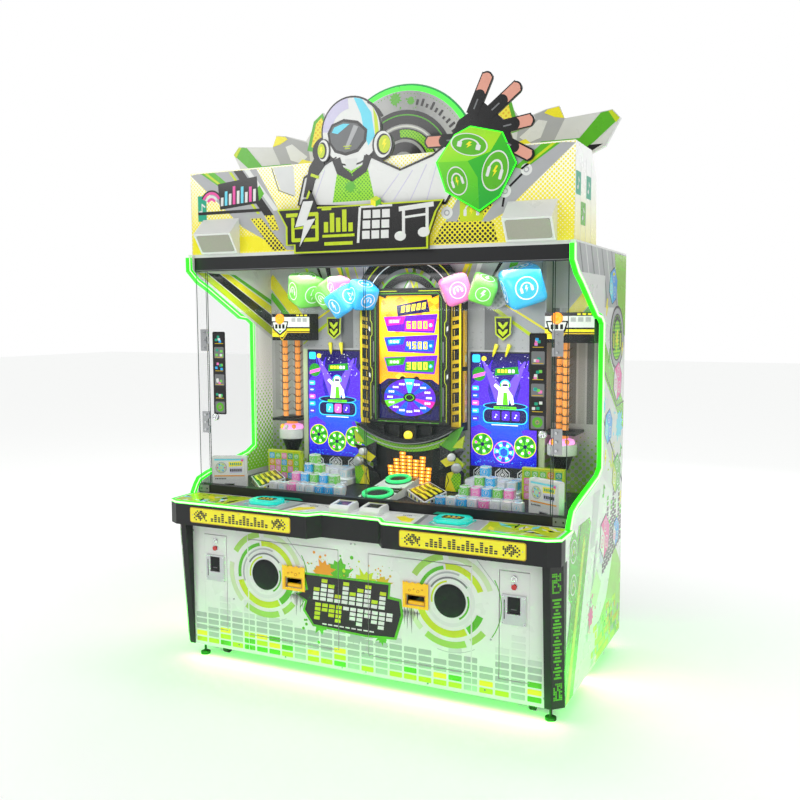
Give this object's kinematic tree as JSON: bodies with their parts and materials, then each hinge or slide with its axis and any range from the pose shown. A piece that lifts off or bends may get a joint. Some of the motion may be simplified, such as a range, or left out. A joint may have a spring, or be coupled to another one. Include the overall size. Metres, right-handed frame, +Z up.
{
  "type": "two-player cube pusher cabinet",
  "caption": "Wide two-player arcade pusher cabinet with glass doors, side screens, cube fields, sliding shelves, lit edges and a winged sign on top.",
  "frame": {"origin": "centre of the footprint, on the floor", "axes": "+Z up, players stand on the -Y side, +X to the players' right"},
  "size_m": [2.03, 1.163, 2.77],
  "materials": {
    "frame_steel": "satin powder coat",
    "white_laminate": "printed laminate",
    "black_board": "satin black",
    "black_metal": "satin black",
    "light_plastic": "lit diffuser",
    "glass": "clear",
    "steel": "brushed",
    "cyan_plastic": "gloss",
    "red_plastic": "gloss",
    "cube_plastic": "gloss",
    "acrylic_sign": "printed acrylic",
    "screen": "display",
    "rubber": "matte",
    "deck_print": "printed deck",
    "orange_tube": "lit tube",
    "galvanised": "zinc"
  },
  "bodies": {
    "cabinet": {"back_wall": "black_board", "base_frame": "frame_steel", "bottom_rail": "black_metal", "caster_brackets": "galvanised", "centre_column": "acrylic_sign", "centre_frame": "black_board", "coin_boxes": "galvanised", "coin_towers": "orange_tube", "control_deck": "deck_print", "corner_posts": "black_metal", "cube_racks": "acrylic_sign", "cubes": "cube_plastic", "deck_fittings": "deck_print", "deck_islands": "cube_plastic", "electronics": "galvanised", "fascia": "black_metal", "figure_board": "acrylic_sign", "fixed_glass": "glass", "floor_board": "black_board", "front_panel": "white_laminate", "hinge_plates": "steel", "levelling_feet": "rubber", "light_strips": "light_plastic", "marquee_box": "white_laminate", "playfield_table": "black_board", "power_inlet": "black_board", "prize_hopper": "black_board", "pusher_motors": "galvanised", "reader_boxes": "white_laminate", "rear_panel": "black_board", "roof_board": "black_board", "screens": "screen", "side_panel_left": "white_laminate", "side_panel_right": "white_laminate", "ticket_dispensers": "galvanised", "title_board": "acrylic_sign", "top_beam": "black_metal", "topper_board": "acrylic_sign", "tower_signs": "acrylic_sign", "upper_speakers": "black_board", "wall_signs": "acrylic_sign"},
    "main_door_left": {"main_door_left": "white_laminate"},
    "main_door_right": {"main_door_right": "white_laminate"},
    "coin_door_left": {"coin_door_left": "white_laminate"},
    "coin_door_right": {"coin_door_right": "white_laminate"},
    "coin_flap_left": {"coin_flap_left": "black_metal"},
    "coin_flap_right": {"coin_flap_right": "black_metal"},
    "reject_button_left": {"reject_button_left": "red_plastic"},
    "reject_button_right": {"reject_button_right": "red_plastic"},
    "player_button_left": {"player_button_left": "cyan_plastic"},
    "player_button_right": {"player_button_right": "cyan_plastic"},
    "glass_door_left": {"glass_door_left": "glass"},
    "glass_door_right": {"glass_door_right": "glass"},
    "pusher_left": {"pusher_left": "cube_plastic"},
    "pusher_right": {"pusher_right": "cube_plastic"},
    "rear_door": {"rear_door": "black_board"},
    "wheel_front_left": {"wheel_front_left": "rubber"},
    "wheel_front_right": {"wheel_front_right": "rubber"},
    "wheel_rear_left": {"wheel_rear_left": "rubber"},
    "wheel_rear_right": {"wheel_rear_right": "rubber"}
  },
  "joints": [
    {"name": "main_door_left_hinge", "type": "hinge", "parent": "cabinet", "child": "main_door_left", "pos_m": [-0.55975, -0.495, 0.4], "axis": [0, 0, -1], "range_deg": [0, 100]},
    {"name": "coin_door_left_hinge", "type": "hinge", "parent": "cabinet", "child": "coin_door_left", "pos_m": [-0.81075, -0.495, 0.4], "axis": [0, 0, -1], "range_deg": [0, 100]},
    {"name": "coin_flap_left_hinge", "type": "hinge", "parent": "coin_door_left", "child": "coin_flap_left", "pos_m": [-0.7455, -0.4985, 0.5225], "axis": [1, 0, 0], "range_deg": [0, 60]},
    {"name": "reject_button_left_slide", "type": "slide", "parent": "coin_door_left", "child": "reject_button_left", "axis": [0, 1, 0], "range_m": [0, 0.006], "stiffness_N_per_m": 200, "springref_m": -0.004},
    {"name": "player_button_left_slide", "type": "slide", "parent": "cabinet", "child": "player_button_left", "axis": [0, 0, -1], "range_m": [0, 0.006], "stiffness_N_per_m": 1500, "springref_m": -0.008},
    {"name": "glass_door_left_hinge", "type": "hinge", "parent": "cabinet", "child": "glass_door_left", "pos_m": [-0.86, -0.3725, 1.36], "axis": [0, 0, -1], "range_deg": [0, 100]},
    {"name": "pusher_left_slide", "type": "slide", "parent": "cabinet", "child": "pusher_left", "axis": [0, -1, 0], "range_m": [0, 0.08]},
    {"name": "main_door_right_hinge", "type": "hinge", "parent": "cabinet", "child": "main_door_right", "pos_m": [0.55975, -0.495, 0.4], "axis": [0, 0, 1], "range_deg": [0, 100]},
    {"name": "coin_door_right_hinge", "type": "hinge", "parent": "cabinet", "child": "coin_door_right", "pos_m": [0.81075, -0.495, 0.4], "axis": [0, 0, 1], "range_deg": [0, 100]},
    {"name": "coin_flap_right_hinge", "type": "hinge", "parent": "coin_door_right", "child": "coin_flap_right", "pos_m": [0.7455, -0.4985, 0.5225], "axis": [1, 0, 0], "range_deg": [0, 60]},
    {"name": "reject_button_right_slide", "type": "slide", "parent": "coin_door_right", "child": "reject_button_right", "axis": [0, 1, 0], "range_m": [0, 0.006], "stiffness_N_per_m": 200, "springref_m": -0.004},
    {"name": "player_button_right_slide", "type": "slide", "parent": "cabinet", "child": "player_button_right", "axis": [0, 0, -1], "range_m": [0, 0.006], "stiffness_N_per_m": 1500, "springref_m": -0.008},
    {"name": "glass_door_right_hinge", "type": "hinge", "parent": "cabinet", "child": "glass_door_right", "pos_m": [0.86, -0.3725, 1.36], "axis": [0, 0, 1], "range_deg": [0, 100]},
    {"name": "pusher_right_slide", "type": "slide", "parent": "cabinet", "child": "pusher_right", "axis": [0, -1, 0], "range_m": [0, 0.08]},
    {"name": "rear_door_hinge", "type": "hinge", "parent": "cabinet", "child": "rear_door", "pos_m": [0.34975, 0.5815, 0.78], "axis": [0, 0, -1], "range_deg": [0, 110]},
    {"name": "wheel_front_left_spin", "type": "hinge", "parent": "cabinet", "child": "wheel_front_left", "pos_m": [-0.788, -0.355, 0.03], "axis": [1, 0, 0], "continuous": true},
    {"name": "wheel_front_right_spin", "type": "hinge", "parent": "cabinet", "child": "wheel_front_right", "pos_m": [0.788, -0.355, 0.03], "axis": [1, 0, 0], "continuous": true},
    {"name": "wheel_rear_left_spin", "type": "hinge", "parent": "cabinet", "child": "wheel_rear_left", "pos_m": [-0.788, 0.4815, 0.03], "axis": [1, 0, 0], "continuous": true},
    {"name": "wheel_rear_right_spin", "type": "hinge", "parent": "cabinet", "child": "wheel_rear_right", "pos_m": [0.788, 0.4815, 0.03], "axis": [1, 0, 0], "continuous": true}
  ]
}
